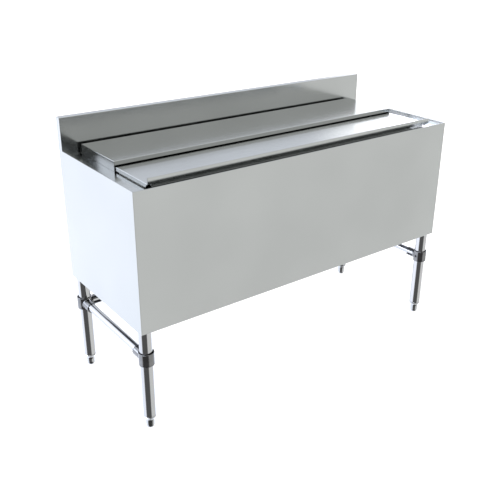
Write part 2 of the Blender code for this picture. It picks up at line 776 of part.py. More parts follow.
def build_legs(steel, screw_steel):
    """Four tubes set up into sockets under the bottom pan, each held by a set screw from the inner side."""
    boss_end = SOCKET_RADIUS + SOCKET_BOSS_LENGTH
    screw_z = -(SOCKET_HEIGHT + SOCKET_PLATE_THICKNESS) / 2
    leg_top = SOCKET_TOP - SOCKET_PLATE_THICKNESS - FIT
    for name, side, rearward, y in CORNERS:
        inward = Matrix.Translation((0, 0, screw_z)) @ (TO_LEFT if side > 0 else TO_RIGHT)
        near = SOCKET_RADIUS + FIT
        xs = sorted((side * near, -side * SOCKET_PLATE_REACH))
        ys = sorted((rearward * near, -rearward * SOCKET_PLATE_REACH))
        plate = rectangle(xs[0], ys[0], xs[1], ys[1])
        socket = prism(f"leg_socket_{name}", plate, -SOCKET_PLATE_THICKNESS, 0, steel)
        socket.location = (side * LEG_X, y, SOCKET_TOP)
        sleeve = rod("sleeve", SOCKET_RADIUS, -SOCKET_HEIGHT, -SOCKET_PLATE_THICKNESS / 2, steel)
        boss = rod("boss", SOCKET_BOSS_RADIUS, 0, boss_end, steel, SMALL_STEPS)
        boss.data.transform(inward)
        hollow = rod("leg_space", LEG_SPACE, -SOCKET_HEIGHT - OVERRUN, -SOCKET_PLATE_THICKNESS, steel)
        for tool, operation in ((sleeve, "UNION"), (boss, "UNION"), (hollow, "DIFFERENCE")):
            tool.location = socket.location
            combine(socket, tool, operation)
        fit_set_screw(f"socket_screw_{name}", socket, LEG_SPACE, boss_end, inward, screw_steel)
        leg = tube(f"leg_tube_{name}", LEG_RADIUS, LEG_WALL, LEG_END_HEIGHT, leg_top, steel)
        leg.location = (side * LEG_X, y, 0)


def build_feet(steel):
    """A flanged threaded insert in the end of each tube, and the bullet foot that screws up into it."""
    flange_top = LEG_END_HEIGHT - FIT
    flange_bottom = flange_top - INSERT_FLANGE
    insert_top = LEG_END_HEIGHT + INSERT_LENGTH
    thread = STUD_RADIUS + FIT
    plug = LEG_RADIUS - LEG_WALL - FIT
    collar_top = flange_bottom - FOOT_GAP
    insert_profile = [
        (thread, flange_bottom),
        (LEG_RADIUS, flange_bottom),
        (LEG_RADIUS, flange_top),
        (plug, flange_top),
        (plug, insert_top),
        (thread, insert_top),
        (thread, flange_bottom),
    ]
    foot_profile = [
        (0, 0),
        (FOOT_TIP_RADIUS, 0),
        ((FOOT_TIP_RADIUS + FOOT_TOE_RADIUS) / 2, FOOT_TIP_HEIGHT),
        (FOOT_TOE_RADIUS, FOOT_TOE_HEIGHT),
        (FOOT_BODY_RADIUS, FOOT_BODY_HEIGHT),
        (FOOT_COLLAR_RADIUS, collar_top - FOOT_COLLAR_DEPTH),
        (FOOT_COLLAR_RADIUS, collar_top),
        (STUD_RADIUS, collar_top),
        (STUD_RADIUS, collar_top + STUD_LENGTH),
        (0, collar_top + STUD_LENGTH),
    ]
    for name, side, _, y in CORNERS:
        insert = turned(f"foot_insert_{name}", insert_profile, steel)
        foot = turned(f"foot_{name}", foot_profile, steel)
        for piece in (insert, foot):
            piece.location = (side * LEG_X, y, 0)


def arm_slot(way, side):
    """The outline, across a clamp's arm, of the slot along its inner side."""
    reach, half = CLAMP_ARM_RADIUS + OVERRUN, CLAMP_ARM_SLOT / 2
    if way == "cross":
        return rectangle(-half, -reach, half, 0)
    ends = sorted((0, -side * reach))
    return rectangle(ends[0], -half, ends[1], half)


def build_clamps(cast, screw_steel):
    """Cast clamps on the legs, with one arm at the front and two at the rear, and their set screws.

    The ring is set away from its arms, so the leg seats on the arms' side of a bore a little too wide for it.
    The arms are thick below, where their screws are, and open along their inner side.
    """
    seat = LEG_SPACE + CLAMP_SEAT_WALL
    half = CLAMP_LENGTH / 2
    rail_space = RAIL_RADIUS + FIT
    screw_from_leg = CLAMP_ARM_REACH - CLAMP_SCREW_FROM_MOUTH
    arm_root = math.sqrt(CLAMP_RADIUS**2 - CLAMP_ARM_RADIUS**2) - CLAMP_OFFSET - FIT
    arm_drop = Vector((0, 0, -CLAMP_ARM_DROP))
    for name, side, rearward, y in CORNERS:
        inward = TO_LEFT if side > 0 else TO_RIGHT
        arms = {"side": TO_FRONT, "cross": inward} if rearward > 0 else {"side": TO_REAR}
        away = Vector((side * CLAMP_OFFSET if rearward > 0 else 0, rearward * CLAMP_OFFSET, 0))
        clamp = rod(f"leg_clamp_{name}", CLAMP_RADIUS, -half, half, cast, chamfer=CLAMP_CHAMFER)
        clamp.data.transform(Matrix.Translation(away))
        clamp.location = (side * LEG_X, y, RAIL_HEIGHT)
        tools = []
        for turn in arms.values():
            arm = rod("arm", CLAMP_ARM_RADIUS, arm_root, CLAMP_ARM_REACH, cast, chamfer=CLAMP_CHAMFER)
            tools.append((arm, Matrix.Translation(arm_drop) @ turn, "UNION"))
        for way, turn in arms.items():
            hollow = rod("rail_space", rail_space, seat, CLAMP_ARM_REACH + OVERRUN, cast)
            slot = prism("arm_slot", arm_slot(way, side), seat, CLAMP_ARM_REACH + OVERRUN, cast)
            tools.append((hollow, turn, "DIFFERENCE"))
            tools.append((slot, turn, "DIFFERENCE"))
        for radius, shift in ((CLAMP_RADIUS - CLAMP_WALL, away), (LEG_SPACE, Vector())):
            hollow = rod("leg_space", radius, -half - OVERRUN, half + OVERRUN, cast)
            tools.append((hollow, Matrix.Translation(shift), "DIFFERENCE"))
        for tool, turn, operation in tools:
            tool.data.transform(turn)
            tool.location = clamp.location
            combine(clamp, tool, operation)
        leg_screw = TO_REAR if rearward > 0 else inward
        head = CLAMP_RADIUS + (CLAMP_OFFSET if rearward > 0 else 0)
        fit_set_screw(f"clamp_leg_screw_{name}", clamp, LEG_SPACE, head, leg_screw, screw_steel)
        for way, turn in arms.items():
            down = Matrix.Translation(turn @ Vector((0, 0, screw_from_leg))) @ TO_FLOOR
            screw, head = f"clamp_{way}_screw_{name}", CLAMP_ARM_RADIUS + CLAMP_ARM_DROP
            fit_set_screw(screw, clamp, rail_space, head, down, screw_steel)


def build_rails(steel):
    """Three tube rails seated in the clamps: one at each side and one at the rear."""
    rail_end = LEG_SPACE + CLAMP_SEAT_WALL + FIT
    front, rear = LEG_FRONT_Y + rail_end, LEG_REAR_Y - rail_end
    for name, side in (("left", -1), ("right", 1)):
        rail = tube(f"side_rail_{name}", RAIL_RADIUS, RAIL_WALL, front, rear, steel)
        rail.data.transform(TO_REAR)
        rail.location = (side * LEG_X, 0, RAIL_HEIGHT)
    rail = tube("rear_rail", RAIL_RADIUS, RAIL_WALL, -LEG_X + rail_end, LEG_X - rail_end, steel)
    rail.data.transform(TO_RIGHT)
    rail.location = (0, LEG_REAR_Y, RAIL_HEIGHT)


start_empty()
STAINLESS = finish("brushed_stainless", (0.55, 0.56, 0.58), 1.0, 0.28)
ZINC_CASTING = finish("plated_zinc_casting", (0.42, 0.42, 0.43), 1.0, 0.25)
SCREW_STEEL = finish("screw_steel", (0.30, 0.30, 0.31), 1.0, 0.35)
FOAM = finish("polyurethane_foam", (0.80, 0.66, 0.36), 0.0, 0.95)
NYLON = finish("white_nylon", (0.80, 0.80, 0.78), 0.0, 0.50)
RUBBER = finish("black_rubber", (0.02, 0.02, 0.02), 0.0, 0.80)

build_side_panels(STAINLESS)
build_front_and_rear_panels(STAINLESS)
build_splash(STAINLESS)
build_deck(STAINLESS)
build_liner(STAINLESS)
build_foam(FOAM)
build_pan(STAINLESS)
build_channels(STAINLESS)
build_hood(STAINLESS)
build_hood_locators(STAINLESS)
build_lid(STAINLESS, NYLON)
build_drain(STAINLESS, RUBBER)
build_legs(STAINLESS, SCREW_STEEL)
build_feet(STAINLESS)
build_clamps(ZINC_CASTING, SCREW_STEEL)
build_rails(STAINLESS)
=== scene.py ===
import math

import bpy
from mathutils import Matrix, Vector


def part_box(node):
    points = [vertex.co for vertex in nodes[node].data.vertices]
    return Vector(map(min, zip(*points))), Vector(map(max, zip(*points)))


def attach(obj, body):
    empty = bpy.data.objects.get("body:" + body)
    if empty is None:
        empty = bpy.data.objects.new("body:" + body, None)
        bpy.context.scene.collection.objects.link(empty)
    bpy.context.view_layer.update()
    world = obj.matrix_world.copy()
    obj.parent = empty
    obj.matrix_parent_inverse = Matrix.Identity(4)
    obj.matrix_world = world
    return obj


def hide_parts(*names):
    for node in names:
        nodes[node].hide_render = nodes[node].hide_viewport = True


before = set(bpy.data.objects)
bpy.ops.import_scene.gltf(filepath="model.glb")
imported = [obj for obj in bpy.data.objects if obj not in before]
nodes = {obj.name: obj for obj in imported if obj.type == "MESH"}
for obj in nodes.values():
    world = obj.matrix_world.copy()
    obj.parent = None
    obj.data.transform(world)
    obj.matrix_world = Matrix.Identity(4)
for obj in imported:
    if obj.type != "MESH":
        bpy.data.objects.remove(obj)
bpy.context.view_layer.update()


# Camera: stands at the left front, a little above the bin, as the photographer did. Its lens, tilt and shift
# were worked out from the bin's straight edges in the photograph.
CAMERA_PLACE = (-1.3609, -1.7255, 1.3530)
CAMERA_TURN = math.radians(-37.323)
CAMERA_DIP = math.radians(23.257)
CAMERA_ROLL = math.radians(0.513)
CAMERA_LENS = 50.097
CAMERA_SENSOR = 36
CAMERA_SHIFT = (-0.00956, -0.03488)

camera_data = bpy.data.cameras.new("camera")
camera_data.sensor_width = CAMERA_SENSOR
camera_data.lens = CAMERA_LENS
camera_data.shift_x, camera_data.shift_y = CAMERA_SHIFT
camera = bpy.data.objects.new("camera", camera_data)
bpy.context.scene.collection.objects.link(camera)
turn = Matrix.Rotation(CAMERA_TURN, 4, "Z")
dip = Matrix.Rotation(math.pi / 2 - CAMERA_DIP, 4, "X")
roll = Matrix.Rotation(CAMERA_ROLL, 4, "Z")
camera.matrix_world = Matrix.Translation(CAMERA_PLACE) @ turn @ dip @ roll
bpy.context.scene.camera = camera
bpy.context.scene.view_settings.view_transform = "Standard"


# Floor: a pale matt studio table that runs out of sight and glows a little, so that it reads as white paper with
# only a faint shadow under the bin. Reflections look past it to the studio.
FLOOR_COLOUR = "d8d6d0"
FLOOR_GLOW_COLOUR = "fffdf8"
FLOOR_GLOW = 0.5
FLOOR_ROUGHNESS = 0.9
FLOOR_SPECULAR = 0.1
FLOOR_SIZE = 60


def linear(hex_colour):
    """An sRGB colour such as "c8c9cb" as linear RGBA."""
    parts = [int(hex_colour[i : i + 2], 16) / 255 for i in (0, 2, 4)]
    return (*[p / 12.92 if p <= 0.04045 else ((p + 0.055) / 1.055) ** 2.4 for p in parts], 1)


bpy.ops.object.select_all(action="DESELECT")
bpy.ops.mesh.primitive_plane_add(size=FLOOR_SIZE, location=(0, 0, 0))
floor = bpy.context.object
floor.name = "floor"
floor.visible_glossy = False
paper = bpy.data.materials.new("pale_matt_table")
paper.use_nodes = True
paper_shader = paper.node_tree.nodes["Principled BSDF"]
paper_shader.inputs["Base Color"].default_value = linear(FLOOR_COLOUR)
paper_shader.inputs["Roughness"].default_value = FLOOR_ROUGHNESS
paper_shader.inputs["Specular IOR Level"].default_value = FLOOR_SPECULAR
paper_shader.inputs["Emission Color"].default_value = linear(FLOOR_GLOW_COLOUR)
paper_shader.inputs["Emission Strength"].default_value = FLOOR_GLOW
floor.data.materials.append(paper)


# Studio: a soft pale room all round, and a broad soft key overhead. The room is brighter and cooler behind the
# bin's left end and bright and low behind its right end, where its windows are, and dark low at the left front.
LEFT, RIGHT, BACK, FORWARD, UP, DOWN = (-1, 0, 0), (1, 0, 0), (0, 1, 0), (0, -1, 0), (0, 0, 1), (0, 0, -1)
RIGHT_FORWARD = (0.707, -0.707, 0)
ROOM_COLOUR = "f9faf9"
ROOM_STRENGTH = 1.14
# Each part of the room: its colour and strength, and its soft edges. An edge is a direction, and where along it
# the part begins and is whole. Each part is laid over those before it.
ROOM_PARTS = (
    # The wall behind the bin, and the upper half in front.
    ("e9eef8", 1.18, ((BACK, -0.15, 0.15),)),
    ("f9faf9", 1.00, ((FORWARD, 0.0, 0.2), (UP, 0.0, 0.15))),
    # The cool bright quarter behind the left end, all that is low behind, and the low windows at the left.
    ("eef3ff", 2.05, ((BACK, -0.02, 0.15), (LEFT, -0.02, 0.15))),
    ("e9effc", 1.95, ((BACK, 0.0, 0.2), (DOWN, 0.42, 0.56))),
    ("e6eeff", 7.00, ((LEFT, 0.5, 0.62), (UP, 0.04, 0.12), (DOWN, -0.50, -0.35))),
    # The bright low part behind the right end, and the windows in it.
    (
        "f9fbff",
        2.15,
        ((RIGHT_FORWARD, -0.06, 0.035), (BACK, 0.0, 0.12), (UP, -0.02, 0.06), (DOWN, -0.55, -0.35)),
    ),
    ("f3f1ff", 8.20, ((RIGHT_FORWARD, 0.05, 0.08), (BACK, 0.0, 0.12), (UP, 0.10, 0.17), (DOWN, -0.42, -0.32))),
    # The dark at the left front: low on the wall, in a band straight in front, and in a patch near the feet.
    ("ffffff", 0.15, ((LEFT, -0.17, 0.03), (FORWARD, 0.03, 0.12), (DOWN, 0.0, 0.15))),
    ("ffffff", 0.15, ((LEFT, 0.05, 0.2), (FORWARD, 0.72, 0.82), (DOWN, -0.60, -0.40))),
    (
        "ffffff",
        0.08,
        ((LEFT, -0.50, -0.35), (FORWARD, -0.05, 0.10), (DOWN, 0.66, 0.70), (UP, -0.93, -0.85)),
    ),
)
KEY_STRENGTH = 0.5
KEY_SPREAD = math.radians(60)
KEY_TURN = (math.radians(18), math.radians(-14), 0)


def add_node(tree, kind, settings=(), links=()):
    """Adds a node, sets its properties and sockets by name, and links its sockets to other nodes' outputs."""
    node = tree.nodes.new(kind)
    for name, value in dict(settings).items():
        if isinstance(name, int) or name in node.inputs:
            node.inputs[name].default_value = value
        else:
            setattr(node, name, value)
    for name, output in dict(links).items():
        tree.links.new(output, node.inputs[name])
    return node


def strong(hex_colour, strength):
    """A colour at a strength, as linear RGBA."""
    return (*[part * strength for part in linear(hex_colour)[:3]], 1)


room = bpy.data.worlds.new("studio_room")
room.use_nodes = True
tree = room.node_tree
way = add_node(tree, "ShaderNodeTexCoord").outputs["Generated"]
shade = add_node(tree, "ShaderNodeRGB").outputs[0]
shade.default_value = strong(ROOM_COLOUR, ROOM_STRENGTH)
for colour, strength, edges in ROOM_PARTS:
    share = None
    for direction, begins, whole in edges:
        along = add_node(tree, "ShaderNodeVectorMath", {"operation": "DOT_PRODUCT", 1: direction}, {0: way})
        edge = add_node(
            tree,
            "ShaderNodeMapRange",
            {"interpolation_type": "SMOOTHSTEP", "From Min": begins, "From Max": whole},
            {"Value": along.outputs["Value"]},
        ).outputs["Result"]
        if share is not None:
            edge = add_node(tree, "ShaderNodeMath", {"operation": "MULTIPLY"}, {0: share, 1: edge}).outputs[0]
        share = edge
    shade = add_node(
        tree, "ShaderNodeMix", {"data_type": "RGBA", 7: strong(colour, strength)}, {0: share, 6: shade}
    ).outputs[2]
tree.links.new(shade, tree.nodes["Background"].inputs["Color"])
bpy.context.scene.world = room

key_data = bpy.data.lights.new("key", "SUN")
key_data.energy = KEY_STRENGTH
key_data.angle = KEY_SPREAD
key = bpy.data.objects.new("key", key_data)
key.rotation_euler = KEY_TURN
key.visible_glossy = False
bpy.context.scene.collection.objects.link(key)


# Outer box: two side panels, a front, a rear and a splash back, folded from 1.2 mm stainless sheet with a satin
# grain, hemmed at the rim and the skirt and welded at the corners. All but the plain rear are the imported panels
# with their bends shaded round.
SHEET_COLOUR = "b4b6b5"
SHEET_WORN_COLOUR = "afb1b0"
SHEET_ROUGHNESS = 0.17
SHEET_ROUGHNESS_SWING = 0.04
GRAIN_LENGTH = 0.110
GRAIN_WIDTH = 0.0016
GRAIN_HEIGHT = 0.00002
GRAIN_DETAIL = 3
GRAIN_FINENESS = 0.65
GRAIN_STRENGTH = 0.35
PATCH_LENGTH = 0.35
PATCH_DETAIL = 2
PATCH_RANGE = (0.35, 0.65)
# Nearly all values of a noise lie between these two.
NOISE_LOW, NOISE_HIGH = 0.3, 0.7
MERGE_DISTANCE = 0.00001
FLAT_ANGLE = math.radians(0.5)
SMOOTH_ANGLE = math.radians(40)


def new_material(name):
    """A material named for its finish, with its node tree, its shader, and the place on the piece, in metres."""
    material = bpy.data.materials.new(name)
    material.use_nodes = True
    tree = material.node_tree
    place = add_node(tree, "ShaderNodeTexCoord").outputs["Object"]
    return material, tree, tree.nodes["Principled BSDF"], place


def tinted(tree, pattern, colours, low=0, high=1):
    """A tint that runs from the first colour to the second over a stretch of a pattern."""
    ramp = add_node(tree, "ShaderNodeValToRGB", {}, {"Fac": pattern})
    for stop, position, colour in zip(ramp.color_ramp.elements, (low, high), colours):
        stop.position = position
        stop.color = linear(colour)
    return ramp.outputs["Color"]


def spread(tree, pattern, low, high):
    """A value that runs from low to high over nearly all of a noise."""
    settings = {"From Min": NOISE_LOW, "From Max": NOISE_HIGH, "To Min": low, "To Max": high}
    return add_node(tree, "ShaderNodeMapRange", settings, {"Value": pattern}).outputs["Result"]


def bump(tree, pattern, strength, height):
    """The normal of a surface that a pattern raises by up to a height, in metres."""
    settings = {"Strength": strength, "Distance": height}
    return add_node(tree, "ShaderNodeBump", settings, {"Height": pattern}).outputs["Normal"]


def satin_steel(name, across, colours, roughness, swing):
    """Stainless steel rubbed in one direction: fine long scratches that blur reflections across the rub and
    leave them longer along it. across gives how closely the scratches lie along each axis, per metre."""
    material, tree, shader, place = new_material(name)
    rub = add_node(tree, "ShaderNodeMapping", {"Scale": across}, {"Vector": place}).outputs["Vector"]
    grain_look = {"Scale": 1, "Detail": GRAIN_DETAIL, "Roughness": GRAIN_FINENESS}
    grain = add_node(tree, "ShaderNodeTexNoise", grain_look, {"Vector": rub}).outputs["Fac"]
    patch_look = {"Scale": 1 / PATCH_LENGTH, "Detail": PATCH_DETAIL}
    patches = add_node(tree, "ShaderNodeTexNoise", patch_look, {"Vector": place}).outputs["Fac"]
    tree.links.new(tinted(tree, patches, colours, *PATCH_RANGE), shader.inputs["Base Color"])
    tree.links.new(spread(tree, grain, roughness - swing, roughness + swing), shader.inputs["Roughness"])
    tree.links.new(bump(tree, grain, GRAIN_STRENGTH, GRAIN_HEIGHT), shader.inputs["Normal"])
    shader.inputs["Metallic"].default_value = 1
    return material


# The real scratches are about 0.1 mm wide: they are drawn as coarse as the render can show.
ALONG, ACROSS = 1 / GRAIN_LENGTH, 1 / GRAIN_WIDTH
SHEET_COLOURS = (SHEET_WORN_COLOUR, SHEET_COLOUR)
long_grain_steel = satin_steel(
    "satin_stainless_long_grain", (ALONG, ACROSS, ACROSS), SHEET_COLOURS, SHEET_ROUGHNESS, SHEET_ROUGHNESS_SWING
)
cross_grain_steel = satin_steel(
    "satin_stainless_cross_grain", (ACROSS, ALONG, ACROSS), SHEET_COLOURS, SHEET_ROUGHNESS, SHEET_ROUGHNESS_SWING
)


def pick(piece):
    """Selects one piece alone and makes it the active one."""
    bpy.ops.object.select_all(action="DESELECT")
    piece.select_set(True)
    bpy.context.view_layer.objects.active = piece


def shade_round(piece, angle):
    """Shades the picked piece's bends smooth up to an angle, and keeps the faces between them flat."""
    bpy.ops.object.shade_smooth_by_angle(angle=angle)
    weighted = piece.modifiers.new("flat_faces_stay_flat", "WEIGHTED_NORMAL")
    weighted.keep_sharp = True
    bpy.ops.object.modifier_apply(modifier=weighted.name)


def round_shaded(node, body, material):
    """Stands a copy of a packed sheet part in its place, its triangles joined, so that its bends shade round."""
    piece = bpy.data.objects.new(f"{node}_sheet", nodes[node].data.copy())
    bpy.context.scene.collection.objects.link(piece)
    pick(piece)
    bpy.ops.object.mode_set(mode="EDIT")
    bpy.ops.mesh.select_all(action="SELECT")
    bpy.ops.mesh.remove_doubles(threshold=MERGE_DISTANCE)
    bpy.ops.mesh.dissolve_limited(angle_limit=FLAT_ANGLE)
    bpy.ops.object.mode_set(mode="OBJECT")
    shade_round(piece, SMOOTH_ANGLE)
    piece.data.materials.clear()
    piece.data.materials.append(material)
    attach(piece, body)
    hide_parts(node)


def dress(node, material):
    """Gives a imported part, which stays as it is, its material."""
    nodes[node].data.materials.clear()
    nodes[node].data.materials.append(material)


for node in ("side_panel_left", "side_panel_right"):
    round_shaded(node, "cabinet", cross_grain_steel)
for node in ("front_panel", "backsplash"):
    round_shaded(node, "cabinet", long_grain_steel)
dress("rear_panel", long_grain_steel)


# Top deck: one sheet of the same satin steel, recessed under the rim, turned down all round and into the opening,
# and welded inside the walls. The lid slides on it and the hood stands on it.
round_shaded("top_deck", "cabinet", long_grain_steel)


# Ice liner: pressed and welded stainless with coved corners, hung under the deck's opening. Its inside is ground
# smooth so that ice slides on it, and its floor falls to the drain.
LINER_COLOURS = ("b6b7b8", "c0c1c2")
LINER_ROUGHNESS = 0.28
liner_steel = satin_steel(
    "ground_stainless_liner", (ALONG, ACROSS, ACROSS), LINER_COLOURS, LINER_ROUGHNESS, SHEET_ROUGHNESS_SWING
)
round_shaded("ice_liner", "cabinet", liner_steel)


# Insulation: polyurethane foam poured between the liner and the outer box. It sets straw yellow, full of small
# closed cells, with a skin that is darker in places.
FOAM_COLOURS = ("d8bd72", "ecd9a0")
FOAM_CELL = 0.0012
FOAM_PIT_DEPTH = 0.0004
FOAM_PIT_STRENGTH = 0.5
FOAM_ROUGHNESS = 0.95
# Darker places in the skin are about 70 mm across.
FOAM_BLUSH = {"Scale": 14, "Detail": 4}

foam, tree, shader, place = new_material("poured_polyurethane_foam")
cells = add_node(tree, "ShaderNodeTexVoronoi", {"Scale": 1 / FOAM_CELL}, {"Vector": place}).outputs["Distance"]
blush = add_node(tree, "ShaderNodeTexNoise", FOAM_BLUSH, {"Vector": place}).outputs["Fac"]
tree.links.new(tinted(tree, blush, FOAM_COLOURS), shader.inputs["Base Color"])
tree.links.new(bump(tree, cells, FOAM_PIT_STRENGTH, FOAM_PIT_DEPTH), shader.inputs["Normal"])
shader.inputs["Roughness"].default_value = FOAM_ROUGHNESS
dress("foam_insulation", foam)


# Bottom pan and its two hat channels: mill-finish stainless, left as it was rolled, because nobody sees it. It
# is greyer and duller than the outside, and its colours are painted darker still as painted shade. They stand in
# for the shadowed floor under the bin, which its reflections would show.
SHADED_MILL_COLOURS = ("626366", "727376")
MILL_ROUGHNESS = 0.34
shaded_mill_steel = satin_steel(
    "mill_finish_stainless_painted_shade", (ALONG, ACROSS, ACROSS), SHADED_MILL_COLOURS, MILL_ROUGHNESS, SHEET_ROUGHNESS_SWING
)
for node in ("bottom_panel", "bottom_channel_front", "bottom_channel_rear"):
    dress(node, shaded_mill_steel)


# Rear hood: a loose cover folded from the satin sheet, on three walls, with a hemmed lip in front. Two small
# angle tabs on the deck hold its rear corners.
round_shaded("rear_hood", "hood", long_grain_steel)
# The tabs take the same darkened mill steel, so they carry its painted shade too.
for node in ("hood_locator_left", "hood_locator_right"):
    dress(node, shaded_mill_steel)


# Sliding lid: folded from the satin sheet, its pull turned up and hemmed in front, with a stiffening angle spot
# welded under it.
round_shaded("sliding_lid", "lid", long_grain_steel)
round_shaded("lid_stiffener", "lid", long_grain_steel)


# Glides: two strips of natural white nylon under the lid, cut from extruded bar, faintly streaked along their
# length and a little waxy.
NYLON_COLOURS = ("dcdbd4", "e8e7e1")
NYLON_ROUGHNESS = 0.42
NYLON_IOR = 1.53
# Streaks left by the die, per metre: 50 mm long and 1.1 mm wide.
NYLON_STREAKS = (900, 20, 900)

nylon, tree, shader, place = new_material("extruded_white_nylon")
drawn = add_node(tree, "ShaderNodeMapping", {"Scale": NYLON_STREAKS}, {"Vector": place}).outputs["Vector"]
streaks = add_node(tree, "ShaderNodeTexNoise", {"Scale": 1, "Detail": 2}, {"Vector": drawn}).outputs["Fac"]
tree.links.new(tinted(tree, streaks, NYLON_COLOURS), shader.inputs["Base Color"])
shader.inputs["Roughness"].default_value = NYLON_ROUGHNESS
shader.inputs["IOR"].default_value = NYLON_IOR
for node in ("lid_glide_left", "lid_glide_right"):
    dress(node, nylon)


# Drain: a turned stainless body with a threaded barrel, let through the liner's floor on a rubber gasket and
# drawn down by a washer and a hexagonal locknut, with a punched strainer laid in its flange.
DRAIN_SIDES = 72
DRAIN_BARREL = 0.0167
DRAIN_BORE = 0.0130
DRAIN_FLANGE = 0.036
DRAIN_FLANGE_THICKNESS = 0.0036
DRAIN_FLANGE_CHAMFER = DRAIN_FLANGE_THICKNESS / 3
DRAIN_RECESS = 0.0270
DRAIN_RECESS_DEPTH = 0.0018
DRAIN_THREAD_PITCH = 0.0022
DRAIN_THREAD_DEPTH = 0.0009
DRAIN_THREAD_TURNS = 30
BARREL_CLEARANCE = 0.0002
GASKET_EDGE = 0.0004
STRAINER_HOLE = 0.0018
STRAINER_HOLE_SIDES = 24
STRAINER_PUNCH = 0.006
STRAINER_PITCH = 0.0052
STRAINER_RINGS = 3
STRAINER_EDGE = 0.0002
NUT_ACROSS_FLATS = 0.046
NUT_BORE_TOOL = 0.03
# The cone that takes off the nut's corners: its radii as parts of the corner's, and its height.
NUT_CONE_TIP, NUT_CONE_FOOT = 0.86, 1.02
NUT_CONE_HEIGHT = 0.0022
NUT_CONE_PAST = 0.0001
NUT_EDGE = 0.0003
FITTING_COLOURS = ("b0b0b1", "b8b9b9")
FITTING_ROUGHNESS = 0.17
# Turning marks, per metre: 2.4 mm apart round the piece and 1.1 mm along it, far coarser than the real ones,
# which the render can't show.
TURNING_MARKS = (420, 420, 900)
RUBBER_COLOURS = ("141414", "2b2b2c")
RUBBER_ROUGHNESS = 0.62
# The bloom on the rubber lies in patches of about 6 mm.
RUBBER_BLOOM = {"Scale": 160, "Detail": 4}
RING_MERGE_DISTANCE = 0.000001
EDGE_ANGLE = math.radians(30)
EDGE_SEGMENTS = 2


def turned(name, profile, sides):
    """A turned piece on the Z axis: a ring of edges drawn out along a profile of (radius, height) steps.
    A profile that comes back to its start leaves a bore, and any other is closed by a face at each end."""
    bpy.ops.object.select_all(action="DESELECT")
    radius, height = profile[0]
    bpy.ops.mesh.primitive_circle_add(vertices=sides, radius=radius, location=(0, 0, height))
    piece = bpy.context.object
    piece.name = name
    bpy.ops.object.mode_set(mode="EDIT")
    for next_radius, next_height in profile[1:]:
        bpy.ops.mesh.extrude_region_move(TRANSFORM_OT_translate={"value": (0, 0, next_height - height)})
        grow = next_radius / radius
        bpy.ops.transform.resize(value=(grow, grow, 1), center_override=(0, 0, next_height))
        radius, height = next_radius, next_height
    bpy.ops.mesh.select_all(action="SELECT")
    bpy.ops.mesh.remove_doubles(threshold=RING_MERGE_DISTANCE)
    bpy.ops.mesh.fill_holes(sides=0)
    bpy.ops.mesh.normals_make_consistent(inside=False)
    bpy.ops.object.mode_set(mode="OBJECT")
    bpy.ops.object.transform_apply()
    return piece


def sleeve(bore, radius, low, high):
    """The profile of a plain ring or tube."""
    return [(bore, low), (radius, low), (radius, high), (bore, high), (bore, low)]


def combine(piece, tool, operation):
    """Joins a tool to a piece, cuts its shape out or keeps what is in it, and drops the tool."""
    pick(piece)
    step = piece.modifiers.new("combine", "BOOLEAN")
    step.operation = operation
    step.solver = "EXACT"
    step.object = tool
    bpy.ops.object.modifier_apply(modifier=step.name)
    bpy.data.objects.remove(tool)


def soften(piece, radius):
    """Breaks a piece's sharp edges to a small radius and shades its round faces smooth."""
    pick(piece)
    edges = piece.modifiers.new("broken_edges", "BEVEL")
    edges.width = radius
    edges.segments = EDGE_SEGMENTS
    edges.limit_method = "ANGLE"
    edges.angle_limit = EDGE_ANGLE
    bpy.ops.object.modifier_apply(modifier=edges.name)
    shade_round(piece, EDGE_ANGLE)


def copied(piece, name, place, turn=(0, 0, 0), scale=(1, 1, 1)):
    """A copy of a piece with its own mesh, turned or mirrored and then moved, and its place kept in its mesh."""
    pick(piece)
    bpy.ops.object.duplicate()
    twin = bpy.context.object
    twin.name = name
    twin.location = place
    twin.rotation_euler = turn
    twin.scale = scale
    bpy.ops.object.transform_apply()
    if scale[0] * scale[1] * scale[2] < 0:
        bpy.ops.object.mode_set(mode="EDIT")
        bpy.ops.mesh.select_all(action="SELECT")
        bpy.ops.mesh.normals_make_consistent(inside=False)
        bpy.ops.object.mode_set(mode="OBJECT")
    return twin


turned_steel = satin_steel(
    "turned_stainless", TURNING_MARKS, FITTING_COLOURS, FITTING_ROUGHNESS, SHEET_ROUGHNESS_SWING
)

body_low, body_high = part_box("drain_body")
flange_low = body_high.z - DRAIN_FLANGE_THICKNESS
thread = []
for turn_count in range(DRAIN_THREAD_TURNS):
    root = body_low.z + (turn_count + 0.5) * DRAIN_THREAD_PITCH
    thread += [(DRAIN_BARREL - DRAIN_THREAD_DEPTH, root), (DRAIN_BARREL, root + DRAIN_THREAD_PITCH / 2)]
drain_body = turned(
    "drain_flange_and_barrel",
    [(DRAIN_BORE, body_low.z), (DRAIN_BARREL - DRAIN_THREAD_DEPTH, body_low.z)]
    + thread
    + [
        (DRAIN_BARREL, flange_low),
        (DRAIN_FLANGE, flange_low),
        (DRAIN_FLANGE, body_high.z - DRAIN_FLANGE_CHAMFER),
        (DRAIN_FLANGE - DRAIN_FLANGE_CHAMFER, body_high.z),
        (DRAIN_RECESS, body_high.z),
        (DRAIN_RECESS, body_high.z - DRAIN_RECESS_DEPTH),
        (DRAIN_BORE, body_high.z - DRAIN_RECESS_DEPTH),
        (DRAIN_BORE, body_low.z),
    ],
    DRAIN_SIDES,
)
bpy.ops.object.shade_smooth_by_angle(angle=EDGE_ANGLE)
drain_body.data.materials.append(turned_steel)
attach(drain_body, "cabinet")
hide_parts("drain_body")

